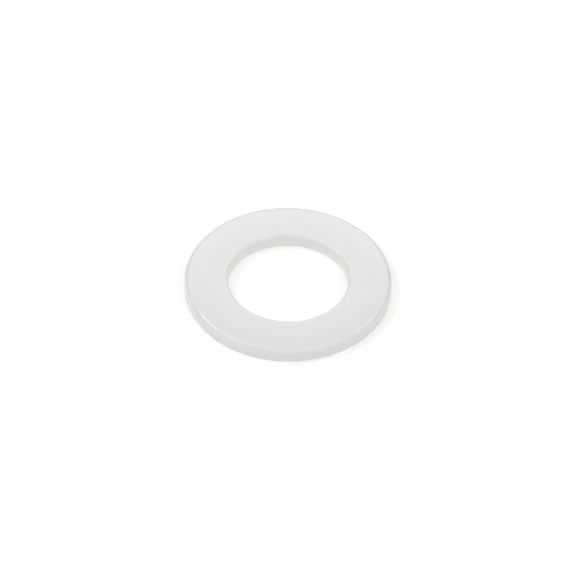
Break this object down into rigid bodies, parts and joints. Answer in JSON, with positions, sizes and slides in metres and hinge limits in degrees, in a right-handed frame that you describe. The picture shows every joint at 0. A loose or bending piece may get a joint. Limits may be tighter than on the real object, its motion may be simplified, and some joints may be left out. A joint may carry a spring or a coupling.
{
  "type": "flat washer",
  "caption": "Plain flat ring in milky white nylon that spreads a bolt head's or nut's load and insulates it from the surface below.",
  "frame": {"origin": "centre of the bore in the plane of the base face, the face with the crisper outer edge", "axes": "+Z along the bore axis, from the base face to the crowned face with the rounder outer edge; the ring is the same all round, so X and Y are free"},
  "size_m": [0.0366, 0.0366, 0.0028],
  "materials": {
    "natural_nylon": "uncoloured nylon as moulded: milky, slightly translucent, satin to the light"
  },
  "bodies": {
    "root": {"flat_washer": "natural_nylon"}
  },
  "joints": []
}
